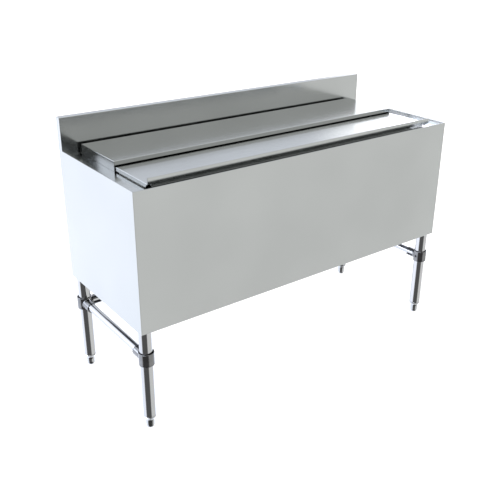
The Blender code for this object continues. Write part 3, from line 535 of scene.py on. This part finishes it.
gasket_low, gasket_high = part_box("drain_gasket")
gasket = turned(
    "drain_rubber_gasket", sleeve(DRAIN_BARREL, gasket_high.x, gasket_low.z, gasket_high.z), DRAIN_SIDES
)
soften(gasket, GASKET_EDGE)
rubber, tree, shader, place = new_material("black_nitrile_rubber")
bloom = add_node(tree, "ShaderNodeTexNoise", RUBBER_BLOOM, {"Vector": place}).outputs["Fac"]
tree.links.new(tinted(tree, bloom, RUBBER_COLOURS), shader.inputs["Base Color"])
shader.inputs["Roughness"].default_value = RUBBER_ROUGHNESS
gasket.data.materials.append(rubber)
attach(gasket, "cabinet")
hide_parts("drain_gasket")

strainer_low, strainer_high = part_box("drain_strainer")
strainer = turned(
    "drain_punched_strainer",
    [(strainer_high.x, strainer_low.z), (strainer_high.x, strainer_high.z)],
    DRAIN_SIDES,
)
for ring in range(STRAINER_RINGS):
    holes = max(1, 6 * ring)
    for hole in range(holes):
        angle = 2 * math.pi * hole / holes
        bpy.ops.mesh.primitive_cylinder_add(
            vertices=STRAINER_HOLE_SIDES,
            radius=STRAINER_HOLE,
            depth=STRAINER_PUNCH,
            location=(
                ring * STRAINER_PITCH * math.cos(angle),
                ring * STRAINER_PITCH * math.sin(angle),
                strainer_low.z,
            ),
        )
        combine(strainer, bpy.context.object, "DIFFERENCE")
soften(strainer, STRAINER_EDGE)
strainer.data.materials.append(turned_steel)
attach(strainer, "cabinet")
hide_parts("drain_strainer")

washer_low, washer_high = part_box("drain_washer")
washer = turned(
    "drain_backing_washer",
    sleeve(DRAIN_BARREL + BARREL_CLEARANCE, washer_high.x, washer_low.z, washer_high.z),
    DRAIN_SIDES,
)
soften(washer, NUT_EDGE)
washer.data.materials.append(turned_steel)
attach(washer, "cabinet")
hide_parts("drain_washer")

nut_low, nut_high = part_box("drain_locknut")
corner = NUT_ACROSS_FLATS / math.sqrt(3)
bpy.ops.object.select_all(action="DESELECT")
bpy.ops.mesh.primitive_cylinder_add(
    vertices=6,
    radius=corner,
    depth=nut_high.z - nut_low.z,
    location=(0, 0, (nut_low.z + nut_high.z) / 2),
    rotation=(0, 0, math.radians(30)),
)
nut = bpy.context.object
nut.name = "drain_hexagon_locknut"
bpy.ops.object.transform_apply()
crown = turned(
    "nut_chamfer",
    [
        (corner * NUT_CONE_TIP, nut_low.z - NUT_CONE_PAST),
        (corner * NUT_CONE_FOOT, nut_low.z + NUT_CONE_HEIGHT),
        (corner * NUT_CONE_FOOT, nut_high.z - NUT_CONE_HEIGHT),
        (corner * NUT_CONE_TIP, nut_high.z + NUT_CONE_PAST),
    ],
    DRAIN_SIDES,
)
combine(nut, crown, "INTERSECT")
bpy.ops.mesh.primitive_cylinder_add(
    vertices=DRAIN_SIDES,
    radius=DRAIN_BARREL + BARREL_CLEARANCE,
    depth=NUT_BORE_TOOL,
    location=(0, 0, nut_low.z),
)
combine(nut, bpy.context.object, "DIFFERENCE")
soften(nut, NUT_EDGE)
nut.data.materials.append(turned_steel)
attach(nut, "cabinet")
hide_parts("drain_locknut")


# Leg sockets: a drawn stainless cup on a gusset plate, welded under the pan at each corner, with a tapped boss
# for its set screw on the inner side.
LEG_X = 0.5851
LEG_FRONT_Y = -0.2033
LEG_REAR_Y = 0.2066
CORNERS = (
    ("front_left", -1, -1),
    ("front_right", 1, -1),
    ("rear_left", -1, 1),
    ("rear_right", 1, 1),
)
LEG_RADIUS = 0.01905
LEG_SPACE = 0.01935
TUBE_SIDES = 64
SOCKET_TOP = 0.3835
SOCKET_RADIUS = 0.02105
SOCKET_HEIGHT = 0.037
SOCKET_PLATE = 0.003
SOCKET_REACH = 0.036
SOCKET_EDGE = 0.0004
BOSS_RADIUS = 0.0075
BOSS_START = 0.002
BOSS_END = 0.02705
BOSS_SIDES = 32
SCREW_RADIUS = 0.0040
SCREW_CLEARANCE = 0.0003
SCREW_HOLE_PAST = 0.004


def leg_place(side, rearward, height=0):
    """The leg axis at a corner, at a height over the floor."""
    return (side * LEG_X, LEG_REAR_Y if rearward > 0 else LEG_FRONT_Y, height)


def boss_rod(radius, end):
    """A plain rod from the middle of the socket out through its boss."""
    bpy.ops.mesh.primitive_cylinder_add(
        vertices=BOSS_SIDES,
        radius=radius,
        depth=end - BOSS_START,
        location=((BOSS_START + end) / 2, 0, -(SOCKET_HEIGHT + SOCKET_PLATE) / 2),
        rotation=(0, math.pi / 2, 0),
    )
    return bpy.context.object


bpy.ops.object.select_all(action="DESELECT")
bpy.ops.mesh.primitive_cube_add(size=1, location=((SOCKET_REACH - SOCKET_RADIUS) / 2,) * 2 + (-SOCKET_PLATE / 2,))
socket = bpy.context.object
socket.scale = (SOCKET_REACH + SOCKET_RADIUS, SOCKET_REACH + SOCKET_RADIUS, SOCKET_PLATE)
bpy.ops.object.transform_apply()
cup = turned("cup", [(SOCKET_RADIUS, -SOCKET_HEIGHT), (SOCKET_RADIUS, -SOCKET_PLATE / 2)], TUBE_SIDES)
combine(socket, cup, "UNION")
combine(socket, boss_rod(BOSS_RADIUS, BOSS_END), "UNION")
bpy.ops.mesh.primitive_cylinder_add(
    vertices=TUBE_SIDES,
    radius=LEG_SPACE,
    depth=2 * (SOCKET_HEIGHT - SOCKET_PLATE),
    location=(0, 0, -SOCKET_PLATE - (SOCKET_HEIGHT - SOCKET_PLATE)),
)
combine(socket, bpy.context.object, "DIFFERENCE")
combine(socket, boss_rod(SCREW_RADIUS + SCREW_CLEARANCE, BOSS_END + SCREW_HOLE_PAST), "DIFFERENCE")
soften(socket, SOCKET_EDGE)
socket.data.materials.append(turned_steel)
for corner, side, rearward in CORNERS:
    piece = copied(
        socket, f"socket_{corner}", leg_place(side, rearward, SOCKET_TOP), scale=(-side, -rearward, 1)
    )
    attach(piece, "cabinet")
    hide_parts(f"leg_socket_{corner}")
bpy.data.objects.remove(socket)


# Legs: 1.5 inch welded stainless tube with a 1.5 mm wall, polished after drawing, so that it mirrors the room in
# long upright bands. Each end is deburred.
TUBE_COLOURS = ("b4b5b6", "bbbbbc")
TUBE_ROUGHNESS = 0.10
TUBE_SWING = 0.025
TUBE_EDGE = 0.0003
# Drawing marks, per metre: 110 mm long and 1.4 mm wide, coarser than the real ones, which the render can't show.
TUBE_ALONG, TUBE_ACROSS = 9, 700
LEG_BORE = 0.01755

polished_tube = satin_steel(
    "polished_stainless_tube", (TUBE_ACROSS, TUBE_ACROSS, TUBE_ALONG), TUBE_COLOURS, TUBE_ROUGHNESS, TUBE_SWING
)
leg_low, leg_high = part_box("leg_tube_front_left")
leg = turned("leg", sleeve(LEG_BORE, LEG_RADIUS, leg_low.z, leg_high.z), TUBE_SIDES)
soften(leg, TUBE_EDGE)
leg.data.materials.append(polished_tube)
for corner, side, rearward in CORNERS:
    piece = copied(leg, f"leg_{corner}", leg_place(side, rearward))
    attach(piece, "cabinet")
    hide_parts(f"leg_tube_{corner}")
bpy.data.objects.remove(leg)


# Rails: 1 inch stainless tube, polished as the legs are, one along each side and one along the rear. Each end is
# held in a clamp by its set screw.
RAIL_HEIGHT = 0.2403
RAIL_RADIUS = 0.0127
RAIL_BORE = 0.0115

polished_side_rail = satin_steel(
    "polished_side_rail", (TUBE_ACROSS, TUBE_ALONG, TUBE_ACROSS), TUBE_COLOURS, TUBE_ROUGHNESS, TUBE_SWING
)
polished_rear_rail = satin_steel(
    "polished_rear_rail", (TUBE_ALONG, TUBE_ACROSS, TUBE_ACROSS), TUBE_COLOURS, TUBE_ROUGHNESS, TUBE_SWING
)
for node, axis, turn, finish in (
    ("side_rail_left", 1, (math.pi / 2, 0, 0), polished_side_rail),
    ("side_rail_right", 1, (math.pi / 2, 0, 0), polished_side_rail),
    ("rear_rail", 0, (0, math.pi / 2, 0), polished_rear_rail),
):
    low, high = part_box(node)
    half = (high[axis] - low[axis]) / 2
    bar = turned("bar", sleeve(RAIL_BORE, RAIL_RADIUS, -half, half), TUBE_SIDES)
    soften(bar, TUBE_EDGE)
    rail = copied(bar, f"{node}_tube", (low + high) / 2, turn)
    bpy.data.objects.remove(bar)
    rail.data.materials.append(finish)
    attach(rail, "cabinet")
    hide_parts(node)


# Clamps: zinc die castings with a dark bright plating, slid up the legs, each with a ring round the leg and an
# arm round the end of each rail. Cast in a die, so every edge is round and the ring flows into its arms.
CLAMP_RADIUS = 0.0230
CLAMP_BORE = 0.0205
CLAMP_OFFSET = 0.0012
CLAMP_LENGTH = 0.041
ARM_RADIUS = 0.0164
ARM_DROP = 0.0018
ARM_START = 0.010
ARM_REACH = 0.054
ARM_CUT_PAST = 0.004
ARM_SLOT = 0.0170
SEAT = 0.02335
RAIL_SPACE = 0.0130
SCREW_FROM_LEG = 0.042
# Where each screw hole begins and ends, from the rail's axis and from the leg's.
RAIL_SCREW_HOLE = (0.008, 0.024)
LEG_SCREW_HOLE = (0.012, 0.030)
RING_CUT = 0.03
CLAMP_SIDES = 72
# The casting is made over in cells of this size, whose smoothing gives the die's radii.
CLAMP_CELL = 0.0009
CLAMP_SMOOTHING = 0.5
CLAMP_SMOOTHINGS = 4
CLAMP_COLOURS = ("747475", "828282")
CLAMP_ROUGHNESS = 0.16
CLAMP_BRIGHTER, CLAMP_DULLER = 0.03, 0.05
# The plated skin's orange peel is 4 mm across and the marks of handling are 22 mm.
PEEL = {"Scale": 260, "Detail": 3}
PEEL_STRENGTH = 0.25
PEEL_HEIGHT = 0.0001
HANDLING = {"Scale": 45, "Detail": 4}


def rod(radius, start, end, way, shift=(0, 0, 0)):
    """A plain rod that a casting is built up from or cut by, laid along a direction from start to end."""
    bpy.ops.object.select_all(action="DESELECT")
    middle = Vector(way) * (start + end) / 2 + Vector(shift)
    bpy.ops.mesh.primitive_cylinder_add(
        vertices=CLAMP_SIDES, radius=radius, depth=end - start, location=middle
    )
    bpy.context.object.rotation_euler = Vector(way).to_track_quat("Z", "Y").to_euler()
    return bpy.context.object


def cast_clamp(name, arms, away, leg_screw):
    """A clamp round the leg's axis. arms gives each arm's direction and the side on which it is open."""
    away = Vector(away)
    clamp = rod(CLAMP_RADIUS, -CLAMP_LENGTH / 2, CLAMP_LENGTH / 2, UP, away)
    clamp.name = name
    bpy.ops.object.transform_apply()
    for way, _ in arms:
        combine(clamp, rod(ARM_RADIUS, ARM_START, ARM_REACH, way, (0, 0, -ARM_DROP)), "UNION")
    for way, open_side in arms:
        combine(clamp, rod(RAIL_SPACE, SEAT, ARM_REACH + ARM_CUT_PAST, way), "DIFFERENCE")
        middle = Vector(way) * (SEAT + ARM_REACH + ARM_CUT_PAST) / 2 + Vector(open_side) * ARM_RADIUS / 2
        bpy.ops.mesh.primitive_cube_add(size=1, location=middle)
        slot = bpy.context.object
        slot.scale = [
            abs(way[axis]) * (ARM_REACH + ARM_CUT_PAST - SEAT)
            + abs(open_side[axis]) * ARM_RADIUS
            + (ARM_SLOT if way[axis] == open_side[axis] == 0 else 0)
            for axis in range(3)
        ]
        combine(clamp, slot, "DIFFERENCE")
        hole = rod(SCREW_RADIUS + SCREW_CLEARANCE, *RAIL_SCREW_HOLE, DOWN, Vector(way) * SCREW_FROM_LEG)
        combine(clamp, hole, "DIFFERENCE")
    combine(clamp, rod(CLAMP_BORE, -RING_CUT, RING_CUT, UP, away), "DIFFERENCE")
    combine(clamp, rod(LEG_SPACE, -RING_CUT, RING_CUT, UP), "DIFFERENCE")
    combine(clamp, rod(SCREW_RADIUS + SCREW_CLEARANCE, *LEG_SCREW_HOLE, leg_screw), "DIFFERENCE")
    skin = clamp.modifiers.new("even_skin", "REMESH")
    skin.mode = "VOXEL"
    skin.voxel_size = CLAMP_CELL
    skin.use_smooth_shade = True
    bpy.ops.object.modifier_apply(modifier=skin.name)
    rounding = clamp.modifiers.new("die_radii", "SMOOTH")
    rounding.factor = CLAMP_SMOOTHING
    rounding.iterations = CLAMP_SMOOTHINGS
    bpy.ops.object.modifier_apply(modifier=rounding.name)
    return clamp


dark_plating, tree, shader, place = new_material("dark_bright_plated_zinc")
orange_peel = add_node(tree, "ShaderNodeTexNoise", PEEL, {"Vector": place}).outputs["Fac"]
handling = add_node(tree, "ShaderNodeTexNoise", HANDLING, {"Vector": place}).outputs["Fac"]
gloss = spread(tree, handling, CLAMP_ROUGHNESS - CLAMP_BRIGHTER, CLAMP_ROUGHNESS + CLAMP_DULLER)
tree.links.new(tinted(tree, handling, CLAMP_COLOURS, NOISE_LOW, NOISE_HIGH), shader.inputs["Base Color"])
tree.links.new(gloss, shader.inputs["Roughness"])
tree.links.new(bump(tree, orange_peel, PEEL_STRENGTH, PEEL_HEIGHT), shader.inputs["Normal"])
shader.inputs["Metallic"].default_value = 1

front_clamp = cast_clamp("front_clamp", [(BACK, RIGHT)], (0, -CLAMP_OFFSET, 0), RIGHT)
rear_clamp = cast_clamp(
    "rear_clamp", [(FORWARD, RIGHT), (RIGHT, FORWARD)], (-CLAMP_OFFSET, CLAMP_OFFSET, 0), BACK
)
for clamp in (front_clamp, rear_clamp):
    clamp.data.materials.append(dark_plating)
for corner, side, rearward in CORNERS:
    clamp = rear_clamp if rearward > 0 else front_clamp
    piece = copied(clamp, f"clamp_{corner}", leg_place(side, rearward, RAIL_HEIGHT), scale=(-side, 1, 1))
    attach(piece, "cabinet")
    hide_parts(f"leg_clamp_{corner}")
bpy.data.objects.remove(front_clamp)
bpy.data.objects.remove(rear_clamp)


# Set screws: M8 socket set screws of blackened steel, run in flush with the boss or the casting, each with its
# hexagon key hole.
KEY_RADIUS = 0.0022
KEY_DEPTH = 0.0020
SCREW_SIDES = 32
SCREW_POINT = 0.0006
SCREW_CHAMFER = 0.0004
SCREW_EDGE = 0.0001
SCREW_COLOURS = ("303032", "48484a")
SCREW_ROUGHNESS = 0.34
SCREW_SWING = 0.06
# The blackening is uneven in spots of 1.1 mm, given per metre.
SCREW_SPOTS = (900, 900, 900)

black_steel = satin_steel("blackened_screw_steel", SCREW_SPOTS, SCREW_COLOURS, SCREW_ROUGHNESS, SCREW_SWING)


def set_screw(node, way):
    """A set screw that fills its node's place, with its key hole at the far end of a direction."""
    low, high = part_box(node)
    axis = max(range(3), key=lambda i: abs(way[i]))
    length = high[axis] - low[axis]
    screw = turned(
        f"{node}_m8",
        [
            (SCREW_RADIUS - SCREW_POINT, 0),
            (SCREW_RADIUS, SCREW_POINT),
            (SCREW_RADIUS, length - SCREW_CHAMFER),
            (SCREW_RADIUS - SCREW_CHAMFER, length),
        ],
        SCREW_SIDES,
    )
    bpy.ops.mesh.primitive_cylinder_add(
        vertices=6, radius=KEY_RADIUS, depth=2 * KEY_DEPTH, location=(0, 0, length)
    )
    combine(screw, bpy.context.object, "DIFFERENCE")
    soften(screw, SCREW_EDGE)
    screw.location = (low + high) / 2 - Vector(way) * length / 2
    screw.rotation_euler = Vector(way).to_track_quat("Z", "Y").to_euler()
    bpy.ops.object.transform_apply()
    screw.data.materials.append(black_steel)
    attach(screw, "cabinet")
    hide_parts(node)


for corner, side, rearward in CORNERS:
    inward = LEFT if side > 0 else RIGHT
    set_screw(f"socket_screw_{corner}", inward)
    set_screw(f"clamp_leg_screw_{corner}", BACK if rearward > 0 else inward)
    set_screw(f"clamp_side_screw_{corner}", DOWN)
    if rearward > 0:
        set_screw(f"clamp_cross_screw_{corner}", DOWN)


# Foot inserts: flanged stainless plugs turned from bar, pressed into the leg ends and tapped M12 for the feet.
# They are polished as the feet are.
INSERT_FLANGE_LOW = 0.0422
INSERT_FLANGE_TOP = 0.0442
INSERT_TOP = 0.0705
INSERT_PLUG = 0.01725
INSERT_BORE = 0.0063
INSERT_EDGE = 0.0004
FOOT_ROUGHNESS = 0.09

polished_foot = satin_steel("polished_turned_stainless", TURNING_MARKS, TUBE_COLOURS, FOOT_ROUGHNESS, TUBE_SWING)
insert = turned(
    "insert",
    [
        (INSERT_BORE, INSERT_FLANGE_LOW),
        (LEG_RADIUS, INSERT_FLANGE_LOW),
        (LEG_RADIUS, INSERT_FLANGE_TOP),
        (INSERT_PLUG, INSERT_FLANGE_TOP),
        (INSERT_PLUG, INSERT_TOP),
        (INSERT_BORE, INSERT_TOP),
        (INSERT_BORE, INSERT_FLANGE_LOW),
    ],
    TUBE_SIDES,
)
soften(insert, INSERT_EDGE)
insert.data.materials.append(polished_foot)
for corner, side, rearward in CORNERS:
    piece = copied(insert, f"insert_{corner}", leg_place(side, rearward))
    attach(piece, "cabinet")
    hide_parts(f"foot_insert_{corner}")
bpy.data.objects.remove(insert)


# Feet: bullet feet turned from stainless bar, a tapered body under a flared collar, on an M12 stud that screws
# up into the insert to level the bin.
FOOT_COLLAR_TOP = 0.0409
FOOT_COLLAR_LOW = 0.0379
FOOT_COLLAR = 0.0186
FOOT_CHAMFER_IN, FOOT_CHAMFER_DOWN = 0.0012, 0.0018
# The body's radius and height from its point up to the collar's rounded lower edge.
FOOT_BODY = [
    (0.0080, 0),
    (0.0092, 0.0003),
    (0.0106, 0.0022),
    (0.0119, 0.0045),
    (0.0126, 0.0068),
    (0.0131, 0.0140),
    (0.0137, 0.0240),
    (0.0143, 0.0300),
    (0.0152, 0.0325),
    (0.0170, 0.0357),
    (FOOT_COLLAR - 0.0004, FOOT_COLLAR_LOW - 0.0006),
    (FOOT_COLLAR, FOOT_COLLAR_LOW + 0.0004),
]
STUD = 0.0060
STUD_TOP = 0.0629
STUD_PITCH = 0.00175
STUD_THREAD_DEPTH = 0.0006
STUD_CHAMFER = 0.0012
STUD_TURNS = 12

stud = []
for turn_count in range(STUD_TURNS):
    crest = FOOT_COLLAR_TOP + (turn_count + 0.5) * STUD_PITCH
    stud += [(STUD, crest), (STUD - STUD_THREAD_DEPTH, crest + STUD_PITCH / 2)]
foot = turned(
    "foot",
    FOOT_BODY
    + [
        (FOOT_COLLAR, FOOT_COLLAR_TOP - FOOT_CHAMFER_DOWN),
        (FOOT_COLLAR - FOOT_CHAMFER_IN, FOOT_COLLAR_TOP),
        (STUD - STUD_THREAD_DEPTH, FOOT_COLLAR_TOP),
    ]
    + stud
    + [(STUD - STUD_CHAMFER, STUD_TOP)],
    TUBE_SIDES,
)
bpy.ops.object.shade_smooth_by_angle(angle=EDGE_ANGLE)
foot.data.materials.append(polished_foot)
for corner, side, rearward in CORNERS:
    piece = copied(foot, f"bullet_foot_{corner}", leg_place(side, rearward))
    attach(piece, f"foot_{corner}")
    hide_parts(f"foot_{corner}")
bpy.data.objects.remove(foot)
